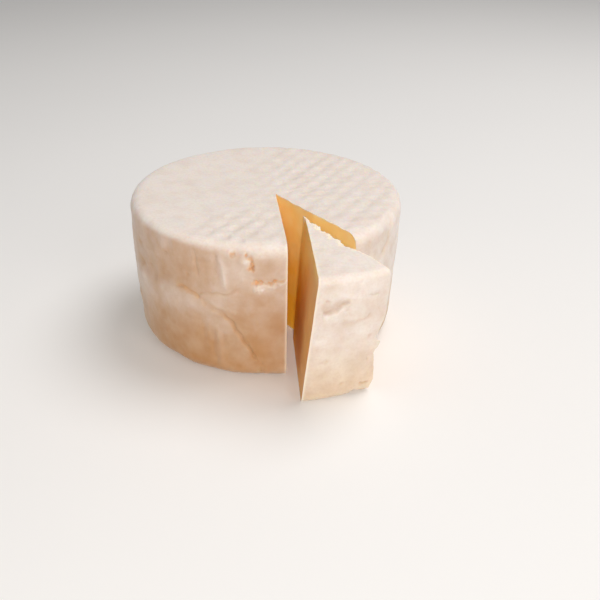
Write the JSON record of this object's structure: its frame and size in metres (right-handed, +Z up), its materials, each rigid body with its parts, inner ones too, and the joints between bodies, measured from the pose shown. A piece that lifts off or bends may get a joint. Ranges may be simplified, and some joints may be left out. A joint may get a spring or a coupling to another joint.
{
  "type": "cheese wheel",
  "caption": "Tall soft-ripened cheese wheel with a white mould rind, cut once, the wedge drawn part way out of its notch.",
  "frame": {"origin": "on the wheel's own axis, at the flat base it rests on", "axes": "+Z up along the wheel's axis; the notch and the drawn-out wedge face -Y, leaning to +X"},
  "size_m": [0.1182, 0.1375, 0.062],
  "materials": {
    "cheese": "matt white mould rind with soft folds; the cut faces are smooth orange-yellow paste"
  },
  "bodies": {
    "root": {"cheese_wheel": "cheese", "cut_wedge": "cheese"}
  },
  "joints": []
}
